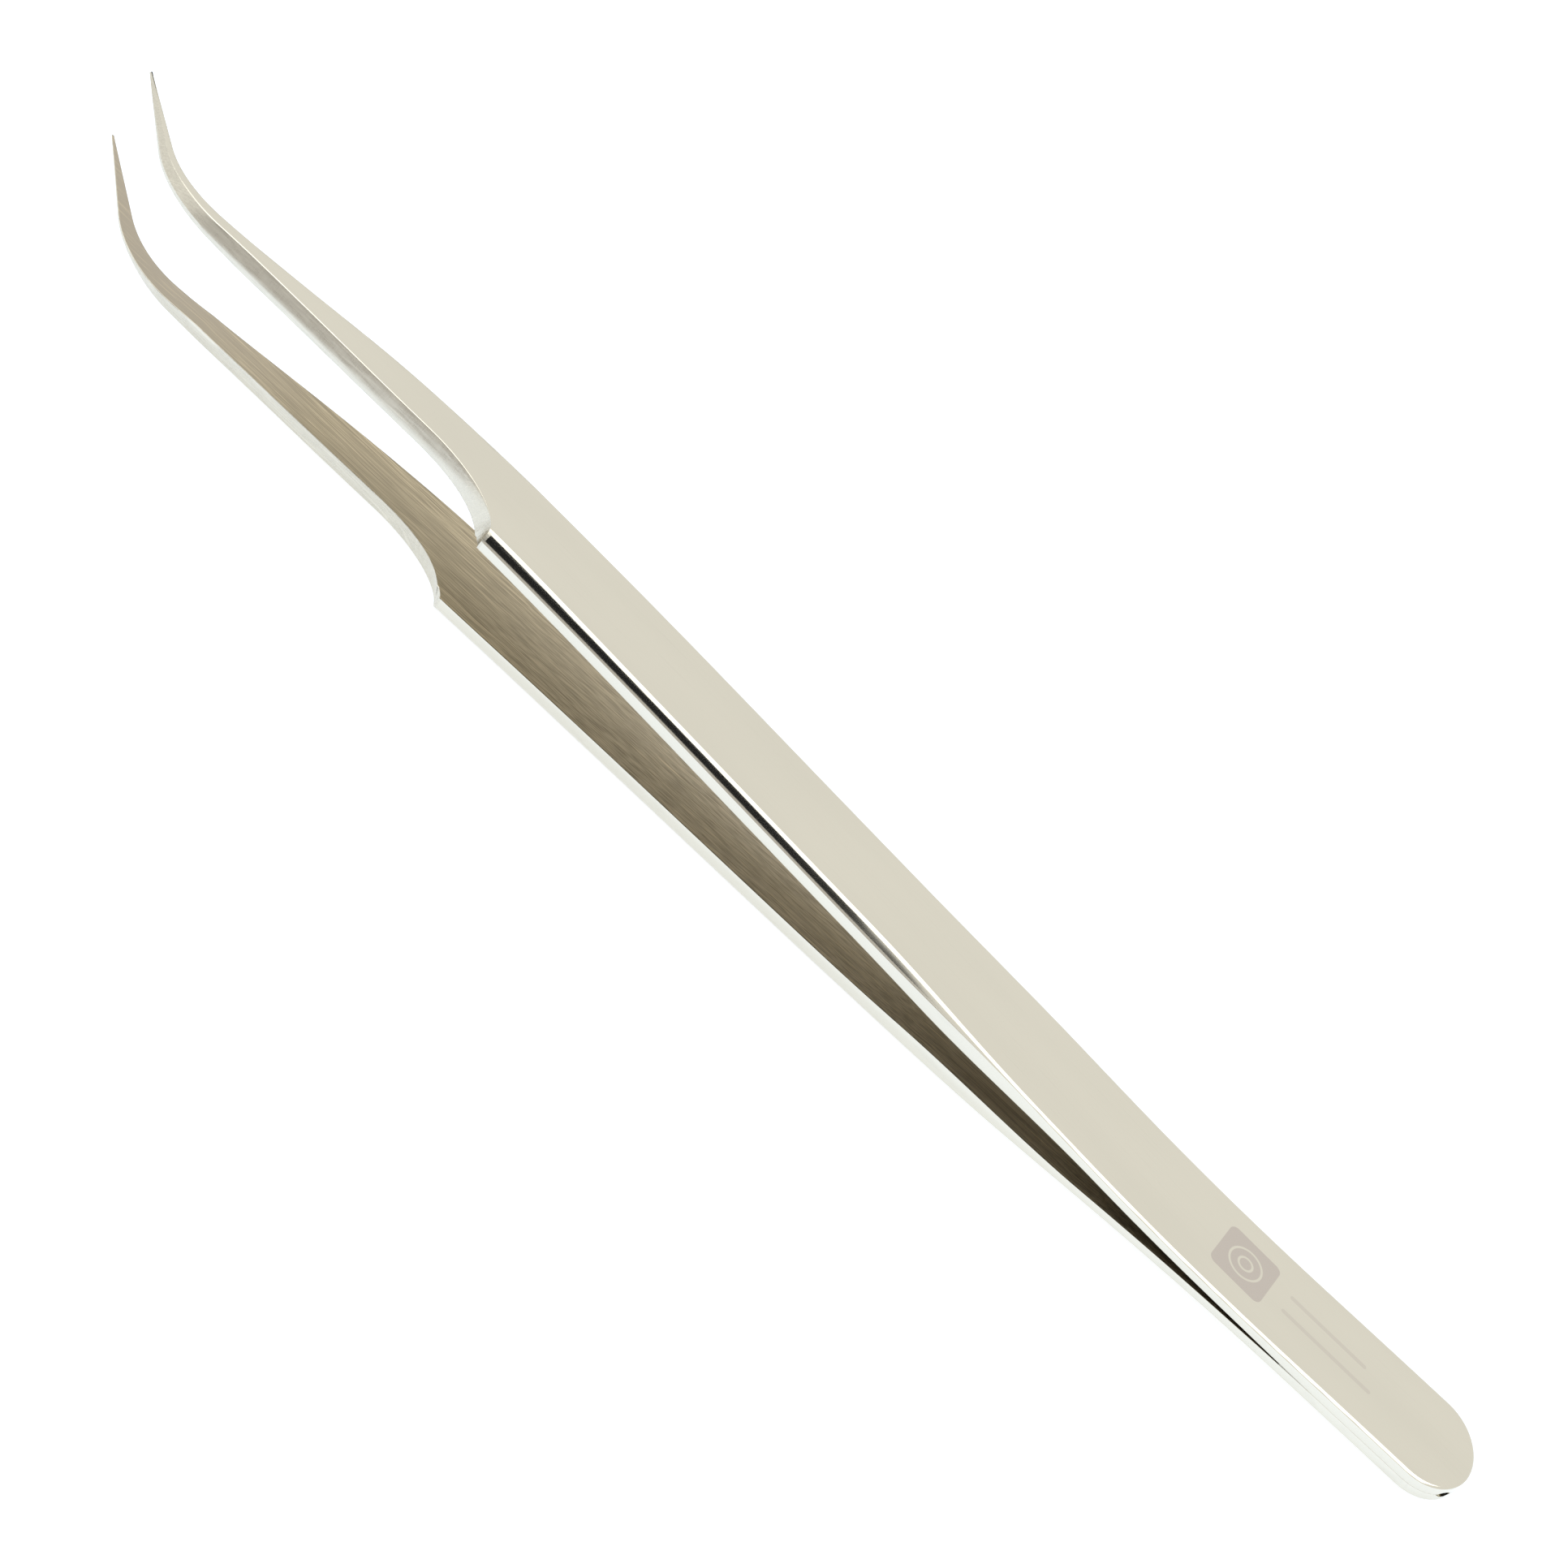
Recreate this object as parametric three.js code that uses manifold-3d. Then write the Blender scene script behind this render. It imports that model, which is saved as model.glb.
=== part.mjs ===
// Curved needle-point tweezers: two spring-steel blades, one above the other, welded together
// at the butt. Millimetres. Each blade is described with the closed seam between the blades as
// its mid-plane: x runs from the butt to the tips, y from the smooth back edge towards the belly
// edge with the shoulder, and z away from the mid-plane. At the end the pair is laid down on the
// lower blade's grip.
import * as THREE from "three";
import { mergeVertices } from "three/addons/utils/BufferGeometryUtils.js";
import Module from "manifold-3d";

const wasm = await Module();
wasm.setup();

// Overall sizes
const LENGTH = 138;
const BUTT_WIDTH = 9.2;
const SHOULDER_WIDTH = 8.8;
const BUTT_ROUND = 3.9; // how far along the blade the rounded butt end reaches

// Stations along the blade: the rear ones are measured from the butt, the front ones from the tip
const TANG_END = 15; // the blades are welded flat together up to here
const FLEX_X = 32.5; // middle of the thin leaf, where the blade bends
const LEAF_END = 48.5; // the finger grip has its full thickness from here on
const JAW_LENGTH = 43.5; // from the shoulder to the tip
const HOOK_LENGTH = 13.5; // from the start of the neck's curve to the tip
const SHOULDER_X = LENGTH - JAW_LENGTH;
const HOOK_X = LENGTH - HOOK_LENGTH;

// Blade thickness
const TANG_THICKNESS = 0.72;
const GRIP_THICKNESS = 1.46;
const NECK_THICKNESS = 1.4;
const TIP_THICKNESS = 0.15;
const THICKEN_X = 33; // the leaf starts to thicken here

// Neck and curved tip, seen square on to the outer face
const NECK_BELLY_Y = 0.5; // the neck's belly edge, close to the blade's middle line
const SHOULDER_CUT_LENGTH = 8.5; // concave cut from the shoulder corner to the neck
const NECK_BACK_OFFSET = 3; // the back edge leaves the handle's line this far past the shoulder
const NECK_BACK_X = SHOULDER_X + NECK_BACK_OFFSET;
const HOOK_WIDTH = 2.0; // neck width where the curve starts
const HOOK_RADIUS = 10.3;
const HOOK_ANGLE = THREE.MathUtils.degToRad(44);
const TIP_WIDTH = 0.18;

// The handle bows towards the belly, so that its back edge is hollow
const SWAY = 0.95;
const SWAY_X = 43.5; // the fullest point of the bow
const SWAY_LENGTH = 104;

// The finger grip is flat between these two stations
const GRIP_FLAT_FROM = LEAF_END + 9;
const GRIP_FLAT_TO = SHOULDER_X - 4.5;
const GRIP_DEGREES = 1.95;

// Slope of the outer face away from the mid-plane: it changes evenly from station to station
const BOW = [
  { x: TANG_END, degrees: 0 },
  { x: FLEX_X + 1.5, degrees: 4 },
  { x: LEAF_END, degrees: 4 },
  { x: GRIP_FLAT_FROM, degrees: GRIP_DEGREES },
  { x: GRIP_FLAT_TO, degrees: GRIP_DEGREES },
  { x: SHOULDER_X + 3, degrees: 0.55 },
  { x: HOOK_X - 5, degrees: 0.55 },
  { x: HOOK_X + 5.5, degrees: -4.9 },
  { x: LENGTH, degrees: -4.9 },
];

// Weld between the tangs
const SEAM_GAP = 0.2; // between the two tangs' inner faces
const WELD_CLEARANCE = 0.25; // all round each weld
const BEAD_RADIUS = 0.25;
const BEAD_INSET = 0.3; // from the tang's edge to the bead's middle
const NUGGET_RADIUS = 1.3;
const NUGGET_HEIGHT = 0.5;
const NUGGET_PLACES = [0.22, 0.78]; // shares of the stretch from the rounded end to the tang's end
const NUGGET_X = NUGGET_PLACES.map((share) => THREE.MathUtils.lerp(BUTT_ROUND, TANG_END, share));

const SPLIT_GAP = 0.3; // between the lengths that one blade is divided into
const PROFILE_STEP = 1.5; // between points on a curved stretch of the side profile
const EDGE_STEPS = 10; // along a long edge of the handle
const CURVE_STEPS = 12; // along the shoulder cut and the back of the neck
const HOOK_STEPS = 14; // along the curved tip
const BEYOND = 5; // how far a cutting solid passes what it cuts

const OUTER_STEEL = { color: 0xd7cfc3, roughness: 0.28, metalness: 1 };
const WELD_STEEL = { color: 0x8d877c, roughness: 0.5, metalness: 1 };

// A closed three.js geometry as a solid, and a solid as a three.js geometry.
function solid(geometry) {
  const bare = geometry.clone();
  bare.deleteAttribute("normal");
  bare.deleteAttribute("uv");
  const merged = mergeVertices(bare, 1e-4);
  return new wasm.Manifold(
    new wasm.Mesh({
      numProp: 3,
      vertProperties: new Float32Array(merged.attributes.position.array),
      triVerts: new Uint32Array(merged.index.array),
    }),
  );
}

function geometryOf(manifold) {
  const mesh = manifold.getMesh();
  const geometry = new THREE.BufferGeometry();
  geometry.setAttribute("position", new THREE.BufferAttribute(mesh.vertProperties, 3));
  geometry.setIndex(new THREE.BufferAttribute(mesh.triVerts, 1));
  const faceted = geometry.toNonIndexed();
  faceted.computeVertexNormals();
  return faceted;
}

function box(xFrom, xTo, yFrom, yTo, zFrom, zTo) {
  const block = new THREE.BoxGeometry(xTo - xFrom, yTo - yFrom, zTo - zFrom);
  block.translate((xFrom + xTo) / 2, (yFrom + yTo) / 2, (zFrom + zTo) / 2);
  return solid(block);
}

// Straight taper of the blade's half width from the butt to the shoulder.
function halfWidth(x) {
  return THREE.MathUtils.mapLinear(x, 0, SHOULDER_X, BUTT_WIDTH, SHOULDER_WIDTH) / 2;
}

// Middle line of the handle: a gentle bow towards the belly.
function middleY(x) {
  const phase = THREE.MathUtils.clamp((x - SWAY_X) / SWAY_LENGTH, -0.5, 0.5);
  return SWAY * Math.cos(Math.PI * phase) ** 2;
}

// Height of the outer face above the mid-plane: the slope of BOW summed from the tang.
function outerHeight(x) {
  let height = SEAM_GAP / 2 + TANG_THICKNESS;
  for (let i = 1; i < BOW.length; i++) {
    const from = BOW[i - 1];
    const to = BOW[i];
    const reach = THREE.MathUtils.clamp(x, from.x, to.x) - from.x;
    const slopeFrom = Math.tan(THREE.MathUtils.degToRad(from.degrees));
    const slopeTo = Math.tan(THREE.MathUtils.degToRad(to.degrees));
    const slopeHere = THREE.MathUtils.lerp(slopeFrom, slopeTo, reach / (to.x - from.x));
    height += (reach * (slopeFrom + slopeHere)) / 2;
  }
  return height;
}

function thickness(x) {
  const { smoothstep, lerp } = THREE.MathUtils;
  const handle = lerp(TANG_THICKNESS, GRIP_THICKNESS, smoothstep(x, THICKEN_X, LEAF_END + 2));
  const front = lerp(handle, NECK_THICKNESS, smoothstep(x, SHOULDER_X, SHOULDER_X + 10));
  const taper = THREE.MathUtils.clamp((x - HOOK_X + 3) / (LENGTH - HOOK_X + 3), 0, 1);
  return lerp(front, TIP_THICKNESS, taper);
}

function innerHeight(x) {
  return outerHeight(x) - thickness(x);
}

// Evenly spaced stations, both ends included, about PROFILE_STEP apart.
function spread(from, to) {
  const steps = Math.ceil((to - from) / PROFILE_STEP);
  const stations = [];
  for (let i = 0; i <= steps; i++) {
    stations.push(THREE.MathUtils.lerp(from, to, i / steps));
  }
  return stations;
}

// Side view of one blade, drawn in x and z. It is straight along the tang and the flat grip.
function sideProfile() {
  const stations = [0, ...spread(TANG_END, GRIP_FLAT_FROM), ...spread(GRIP_FLAT_TO, LENGTH)];
  const outer = stations.map((x) => new THREE.Vector2(x, outerHeight(x)));
  const inner = stations.map((x) => new THREE.Vector2(x, innerHeight(x)));
  return new THREE.Shape([...outer.reverse(), ...inner]);
}

// Middle line of the curved tip: an arc, then a straight run to the point.
function hookPoint(along, side) {
  const arcLength = HOOK_RADIUS * HOOK_ANGLE;
  const arcEndX = HOOK_X + HOOK_RADIUS * Math.sin(HOOK_ANGLE);
  const straight = (LENGTH - arcEndX) / Math.cos(HOOK_ANGLE);
  const travelled = along * (arcLength + straight);
  const angle = Math.min(travelled, arcLength) / HOOK_RADIUS;
  const onward = Math.max(0, travelled - arcLength);
  const x = HOOK_X + HOOK_RADIUS * Math.sin(angle) + onward * Math.cos(angle);
  const bend = HOOK_RADIUS * (1 - Math.cos(angle)) + onward * Math.sin(angle);
  const y = NECK_BELLY_Y - HOOK_WIDTH / 2 - bend;
  const offset = (side * THREE.MathUtils.lerp(HOOK_WIDTH, TIP_WIDTH, along)) / 2;
  return new THREE.Vector2(x + offset * Math.sin(angle), y + offset * Math.cos(angle));
}

// One long edge of the handle, from the butt towards the shoulder: side is 1 for the belly edge
// and -1 for the back edge.
function handleEdge(side, xTo) {
  const points = [];
  for (let i = 0; i <= EDGE_STEPS; i++) {
    const x = THREE.MathUtils.lerp(BUTT_ROUND, xTo, i / EDGE_STEPS);
    points.push(new THREE.Vector2(x, middleY(x) + side * halfWidth(x)));
  }
  return points;
}

// One edge of the curved tip, from the neck to the point.
function hookEdge(side) {
  const points = [];
  for (let i = 0; i <= HOOK_STEPS; i++) {
    points.push(hookPoint(i / HOOK_STEPS, side));
  }
  return points;
}

// Concave cut at the shoulder: a quarter of an ellipse from the corner to the neck.
function shoulderCut() {
  const corner = middleY(SHOULDER_X) + halfWidth(SHOULDER_X);
  const length = SHOULDER_CUT_LENGTH;
  const cut = new THREE.EllipseCurve(
    SHOULDER_X + length, corner, length, corner - NECK_BELLY_Y, Math.PI, 1.5 * Math.PI,
  );
  return cut.getPoints(CURVE_STEPS);
}

// Back of the neck, from the hook to the handle.
function neckBack(handleBack) {
  const hookBack = new THREE.Vector2(HOOK_X, NECK_BELLY_Y - HOOK_WIDTH);
  const curve = new THREE.CubicBezierCurve(
    hookBack,
    new THREE.Vector2(HOOK_X - 4.5, hookBack.y),
    new THREE.Vector2(NECK_BACK_X + 11, handleBack.y + 0.2),
    handleBack,
  );
  return curve.getPoints(CURVE_STEPS);
}

// Rounded end of the butt, from the back edge to the belly edge.
function buttEnd() {
  const end = new THREE.EllipseCurve(
    BUTT_ROUND, middleY(BUTT_ROUND), BUTT_ROUND, halfWidth(BUTT_ROUND), 1.5 * Math.PI, 0.5 * Math.PI, true,
  );
  return end.getPoints(2 * CURVE_STEPS);
}

// Outline of one blade, seen square on to its outer face.
function planOutline() {
  const back = handleEdge(-1, NECK_BACK_X);
  const loop = [
    ...handleEdge(1, SHOULDER_X),
    ...shoulderCut().slice(1),
    ...hookEdge(1),
    ...hookEdge(-1).reverse(),
    ...neckBack(back[EDGE_STEPS]).slice(1),
    ...back.reverse().slice(1),
    ...buttEnd().slice(1, -1),
  ];
  return new THREE.Shape(loop);
}

// The upper blade in one piece: its outline, as thick as its side profile.
function upperBlade() {
  const tall = outerHeight(HOOK_X) + 2 * BEYOND;
  const plan = new THREE.ExtrudeGeometry(planOutline(), { depth: tall, bevelEnabled: false });
  plan.translate(0, 0, -BEYOND);
  const wide = 2 * LENGTH;
  const side = new THREE.ExtrudeGeometry(sideProfile(), { depth: wide, bevelEnabled: false });
  side.rotateX(Math.PI / 2);
  side.translate(0, wide / 2, 0);
  return solid(plan).intersect(solid(side));
}

// A round bar between two points.
function rod(from, to, radius) {
  const along = new THREE.Vector3().subVectors(to, from);
  const bar = new THREE.CylinderGeometry(radius, radius, along.length(), 16);
  const turn = new THREE.Quaternion();
  turn.setFromUnitVectors(new THREE.Vector3(0, 1, 0), along.normalize());
  bar.applyQuaternion(turn);
  bar.translate((from.x + to.x) / 2, (from.y + to.y) / 2, (from.z + to.z) / 2);
  return solid(bar);
}

// Weld bead in the seam, just under one long edge of the tangs.
function weldBead(side, clearance) {
  const onEdge = (x) => {
    const y = middleY(x) + side * (halfWidth(x) - BEAD_INSET);
    return new THREE.Vector3(x, y, 0);
  };
  const from = onEdge(BUTT_ROUND + 1 - clearance);
  const to = onEdge(TANG_END - 1 + clearance);
  return rod(from, to, BEAD_RADIUS + clearance);
}

function weldNugget(x, clearance) {
  const radius = NUGGET_RADIUS + clearance;
  const nugget = new THREE.CylinderGeometry(radius, radius, NUGGET_HEIGHT + 2 * clearance, 32);
  nugget.rotateX(Math.PI / 2);
  nugget.translate(x, middleY(x), 0);
  return solid(nugget);
}

// Each weld sits in a pocket that is open to the seam.
function withWeldPockets(tang) {
  let cut = tang;
  for (const side of [-1, 1]) {
    cut = cut.subtract(weldBead(side, WELD_CLEARANCE));
  }
  for (const x of NUGGET_X) {
    cut = cut.subtract(weldNugget(x, WELD_CLEARANCE));
  }
  return cut;
}

const tweezers = new THREE.Group();

function addPiece(name, manifold, finish, mirrored) {
  const piece = new THREE.Mesh(geometryOf(manifold), new THREE.MeshStandardMaterial(finish));
  piece.name = name;
  piece.scale.z = mirrored ? -1 : 1;
  tweezers.add(piece);
}

// Where one blade is divided: the tang and rear leaf stay with the weld, the rest swings.
const LENGTHS = [
  { name: "tang", from: -BEYOND, to: TANG_END },
  { name: "rear_leaf", from: TANG_END, to: FLEX_X },
  { name: "front_leaf", from: FLEX_X, to: LEAF_END },
  { name: "grip", from: LEAF_END, to: SHOULDER_X },
  { name: "jaw", from: SHOULDER_X, to: LENGTH + BEYOND },
];

const blade = upperBlade();
for (const { name, from, to } of LENGTHS) {
  const slice = box(from + SPLIT_GAP / 2, to - SPLIT_GAP / 2, -LENGTH, LENGTH, -LENGTH, LENGTH);
  const length = blade.intersect(slice);
  const piece = name === "tang" ? withWeldPockets(length) : length;
  addPiece("upper_" + name, piece, OUTER_STEEL, false);
  addPiece("lower_" + name, piece, OUTER_STEEL, true);
}
addPiece("weld_bead_back", weldBead(-1, 0), WELD_STEEL, false);
addPiece("weld_bead_belly", weldBead(1, 0), WELD_STEEL, false);
NUGGET_X.forEach((x, i) => addPiece("weld_nugget_" + (i + 1), weldNugget(x, 0), WELD_STEEL, false));

// The pair's weight is over the grips, so it lies flat on the lower one.
tweezers.rotation.y = -THREE.MathUtils.degToRad(GRIP_DEGREES);
tweezers.updateMatrixWorld(true);
const extent = new THREE.Box3().setFromObject(tweezers, true);
const middle = extent.getCenter(new THREE.Vector3());
tweezers.position.set(-middle.x, -middle.y, -extent.min.z);

const part = new THREE.Group();
part.add(tweezers);

export default part;
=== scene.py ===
"""Curved needle-point tweezers: two polished spring-steel blades welded at the butt.

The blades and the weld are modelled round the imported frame, one operator each, and laid on a pale
floor under soft studio light. Everything is in metres.
"""

import math

import bmesh
import bpy
from bpy.props import FloatProperty, FloatVectorProperty, PointerProperty
from mathutils import Matrix, Vector


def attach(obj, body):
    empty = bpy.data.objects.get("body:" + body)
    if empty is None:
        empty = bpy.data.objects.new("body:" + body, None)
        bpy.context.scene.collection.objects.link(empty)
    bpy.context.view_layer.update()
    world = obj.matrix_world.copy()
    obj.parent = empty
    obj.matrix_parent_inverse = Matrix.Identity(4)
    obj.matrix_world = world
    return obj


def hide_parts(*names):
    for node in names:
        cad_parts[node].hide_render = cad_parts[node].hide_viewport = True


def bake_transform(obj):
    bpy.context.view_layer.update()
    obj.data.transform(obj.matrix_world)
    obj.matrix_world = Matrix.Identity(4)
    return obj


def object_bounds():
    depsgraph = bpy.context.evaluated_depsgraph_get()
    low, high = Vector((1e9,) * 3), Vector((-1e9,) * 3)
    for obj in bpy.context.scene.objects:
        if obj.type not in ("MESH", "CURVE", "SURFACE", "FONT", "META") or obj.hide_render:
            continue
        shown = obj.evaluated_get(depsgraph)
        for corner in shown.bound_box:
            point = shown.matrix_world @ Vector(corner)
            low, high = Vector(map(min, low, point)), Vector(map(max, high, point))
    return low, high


bl_info = {
    "name": "Curved Needle-Point Tweezers",
    "version": (1, 0, 0),
    "blender": (4, 5, 0),
    "location": "View3D > Sidebar > Tweezers",
    "description": "Models a pair of curved needle-point tweezers with a stepped shoulder",
    "category": "Object",
}

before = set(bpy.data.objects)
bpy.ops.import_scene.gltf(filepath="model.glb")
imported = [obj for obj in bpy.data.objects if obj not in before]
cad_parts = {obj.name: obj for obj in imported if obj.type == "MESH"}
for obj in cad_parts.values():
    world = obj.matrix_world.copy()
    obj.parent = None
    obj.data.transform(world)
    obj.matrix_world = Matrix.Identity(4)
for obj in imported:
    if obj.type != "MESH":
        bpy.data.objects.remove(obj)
frame_low, frame_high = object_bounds()

# Counts along and round a blade
BUTT_RINGS = 14
CUT_RINGS = 16
HOOK_RINGS = 34
RING_STEP = 0.001  # between rings on the handle and the neck
FACE_COLUMNS = 6  # between the two edges, on each broad face
BACK_STEPS = 200  # in the table of the neck's back edge

QUARTER_TURN = 0.5 * math.pi
SHARP_ANGLE = math.radians(28)
BORDER = 0.0001  # a flat border of the broad faces, which keeps their shading even

# Order of the material slots on a blade, and the frame's nodes that one blade stands for
POLISHED, BRUSHED, GROUND = range(3)
BLADE_NODES = ("tang", "rear_leaf", "front_leaf", "grip", "jaw")

# Side view: slopes of the neck and the hook, and where the slopes of the bow are reached
NECK_SLOPE = math.radians(0.55)
HOOK_SLOPE = math.radians(-4.9)
STEEP_PAST_FLEX = 0.0015
FLAT_PAST_LEAF = 0.009
FLAT_SHORT_OF_SHOULDER = 0.0045
BEND_SHORT_OF_HOOK = 0.005
BEND_PAST_HOOK = 0.0055

# Side view: where the thickness changes
THICKENS_FROM = 0.033
THICK_PAST_LEAF = 0.002
THIN_PAST_SHOULDER = 0.01
TAPER_SHORT_OF_HOOK = 0.003

# Plan view: the bow of the handle, and the curve of the neck's back edge
SWAY_MIDDLE, SWAY_LENGTH = 0.0435, 0.104
BACK_PAST_SHOULDER = 0.003
BACK_PULL_START = (0.011, 0.0002)
BACK_PULL_END = 0.0045
SHOULDER_GAP = 0.0002  # from the handle's last ring to the hollow cut
HOOK_SHARE = 0.996  # of the hook, up to its last ring; the point closes past it

# The handle's rounded edge: its steps, with three radii in turn, from the tang to the shoulder
ROUND_TURNS = [math.radians(turn) for turn in (0, 14, 28, 42, 47, 52, 63, 76, 90)]
MIDDLE_FROM, LOWER_FROM = math.radians(42), math.radians(52)
TANG_RADII = (0.00042, 0.00001, 0.00016)
GRIP_EDGE_GROWS = (0.040, 0.056)
FRONT_EDGE_GROWS = (0.078, 0.0935)
FRONT_EXTRA_RADIUS = 0.0009

# The facet ground along the neck
BREAK_STEPS = 6  # of the rounded edge's steps go to the break at the top of the facet
BREAK_SHARE = 0.22  # of the facet's width is the radius of that break
WIDTH_SHARES = {1: 0.36, -1: 0.27}  # of the neck's width at most, at the belly and at the back
DEPTH_SHARE = 0.68  # of the neck's thickness at most
STEEP_FADES = (0.106, 0.118)  # up to here the facet is narrower and deeper
STEEP_NARROWS, STEEP_DEEPENS = 0.22, 0.14
BACK_FACET_LENGTH = 0.014  # over which the back's rounded edge turns into the facet

# The wall of the hollow cut leans out towards its foot, more and then less with its depth
FLARE = 0.0005
FLARE_GROWS = (0.0, 0.0011)
FLARE_FADES = (0.0014, 0.0044)

# The inner edge, the seam over the weld and the notch at the end of the butt
BEVEL_MIDDLE = 0.29  # place of a bevel's middle line, as a share of the bevel
BEVEL_GROWS = (0.014, 0.018)
BEVEL_SHARE = 0.25  # of the blade's thickness at most
WELD_BEVEL = 0.00002
SEAM_CLOSING = 0.000085
SEAM_OPENS = (0.011, 0.021)
NOTCH_TURN, NOTCH_SPREAD = math.radians(36), math.radians(9)
NOTCH_FULL = 0.6  # of the spread is where the notch is fully open
SLOT_DEPTH = 4  # of the notch, for each part of its height
SLOT_SHOULDER = 0.9  # of the slot's depth still has its full height

# The weld between the tangs
WELD_HALF = 0.00002  # half of its thickness
BEAD_TURN = math.radians(46)  # where a bead starts, round the end of the butt
BEAD_STEPS = 12  # round the butt, and then along the tang
BEAD_PAST_TANG = 0.0002
BEAD_SECTION = (  # insets from the blade's edge, and heights as shares of the half thickness
    (0.000012, 0.7), (0.00003, 1), (0.0006, 1), (0.0007, 0), (0.0006, -1), (0.00003, -1),
    (0.000012, -0.7),
)
NUGGET_PLACES = (0.22, 0.78)  # along the straight part of the tang
NUGGET_RADIUS = 0.0013
NUGGET_SIDES = 48
NUGGET_BEVEL = 0.00001

# The etched patch near the butt, in the blade's own plan view
PATCH_MIDDLE = (0.02128, 0.00047)
PATCH_HALF, PATCH_CORNER = 0.00238, 0.0006
RING_RADII = (0.0014, 0.0006)
BARS = (((0.0132, 0.0013), 0.0042), ((0.0138, -0.0005), 0.0036))  # middles and half lengths
BAR_HALF = 0.0002
BAR_TONE = 0.45
OUTER_FACE_FROM = 0.0006  # height over the seam that only the outer face reaches near the butt

# Where the inner face has a painted sheen, and where it is lapped towards the points
SHEEN_GROWS, SHEEN_FADES = (0.028, 0.055), (0.066, 0.094)
LAPPED_GROWS = (0.110, 0.124)

# The stage
FLOOR_SIZE = 6
STUDIO_COLOUR = (1.0, 0.995, 0.985, 1)
SOFTBOX_HEIGHT, SOFTBOX_WIDTH, SOFTBOX_DEPTH = 0.7, 1.2, 0.80
SOFTBOX_RADIANCE = 1.35
BOARD_DISTANCE = 0.8
BOARD_START = -0.03  # along the blades
BOARD_BASE, BOARD_GLOW = (0.002, 0.002, 0.003), (1.0, 0.97, 0.95)
BOARDS = (  # from and to in degrees off the zenith, width, glow
    ("dark_board", 29, 50, 0.40, 0.004),
    ("grey_board", 50, 89.5, 0.93, 0.62),
)
CAMERA_PLACE = (0.0466, 0.2355, 0.1759)  # in the upper blade's own frame, as are the two axes
CAMERA_RIGHT = (-0.7221, -0.4501, 0.5252)
CAMERA_UP = (0.6880, -0.3883, 0.6131)
CAMERA_LENS = 95.7


def metres(name, default, description):
    return FloatProperty(name=name, description=description, default=default, unit="LENGTH")


def degrees(name, default, description):
    default = math.radians(default)
    return FloatProperty(name=name, description=description, default=default, subtype="ANGLE")


def swatch(name, default, description):
    return FloatVectorProperty(
        name=name, description=description, default=default, size=3, min=0, max=1, subtype="COLOR"
    )


class TWEEZERS_PG_blade(bpy.types.PropertyGroup):
    """Sizes of one blade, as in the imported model."""

    length: metres("Length", 0.138, "From the butt to the tip")
    butt_width: metres("Butt Width", 0.0092, "Width of the handle at the butt")
    shoulder_width: metres("Shoulder Width", 0.0088, "Width of the handle at the shoulder")
    butt_round: metres("Butt Rounding", 0.0039, "How far along the blade the rounded end reaches")
    tang_end: metres("Tang End", 0.015, "The blades are welded together up to here")
    flex: metres("Flex Station", 0.0325, "Middle of the thin leaf, where the blade bends")
    leaf_end: metres("Leaf End", 0.0485, "Where the finger grip starts")
    jaw_length: metres("Jaw Length", 0.0435, "From the shoulder to the tip")
    hook_length: metres("Hook Length", 0.0135, "From the start of the neck's curve to the tip")
    tang_thickness: metres("Tang Thickness", 0.00072, "Thickness at the weld and along the leaf")
    grip_thickness: metres("Grip Thickness", 0.00146, "Thickness of the finger grip")
    neck_thickness: metres("Neck Thickness", 0.0014, "Thickness of the neck")
    tip_thickness: metres("Tip Thickness", 0.00015, "Thickness of the point")
    neck_belly: metres(
        "Neck Belly Line", 0.0005, "Distance of the neck's belly edge from the middle line"
    )
    cut_length: metres(
        "Shoulder Cut", 0.0085, "Length of the hollow cut from the shoulder to the neck"
    )
    neck_width: metres("Neck Width", 0.002, "Width of the neck where the hook starts")
    tip_width: metres("Tip Width", 0.00018, "Width of the point")
    hook_radius: metres("Hook Radius", 0.0103, "Radius of the hook's middle line")
    hook_angle: degrees("Hook Angle", 44, "How far the hook turns")
    sway: metres("Sway", 0.00095, "How far the handle bows towards the belly")
    grip_slope: degrees("Grip Slope", 1.95, "Slope of the flat grip away from the closed seam")
    leaf_slope: degrees("Leaf Slope", 4, "Steepest slope of the spring leaf")
    seam_gap: metres("Seam Gap", 0.0002, "Between the inner faces of the two tangs")


class TWEEZERS_PG_edges(bpy.types.PropertyGroup):
    """How the edges of a blade are finished."""

    shallow_radius: metres("Shallow Radius", 0.00042, "Edge radius next to the outer face")
    grip_radius: metres("Grip Radius", 0.0037, "Wide middle radius of the grip's edges")
    lower_radius: metres("Lower Radius", 0.00025, "Edge radius next to the side")
    inner_bevel: metres("Inner Bevel", 0.00005, "Bevel of the inner face's edges")
    neck_facet: metres("Neck Facet", 0.0006, "Width of the facet ground along the neck")
    neck_facet_depth: metres("Neck Facet Depth", 0.00098, "Depth of that facet")
    notch: metres("Butt Notch", 0.00023, "Bevel that opens the seam at the end of the butt")


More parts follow.
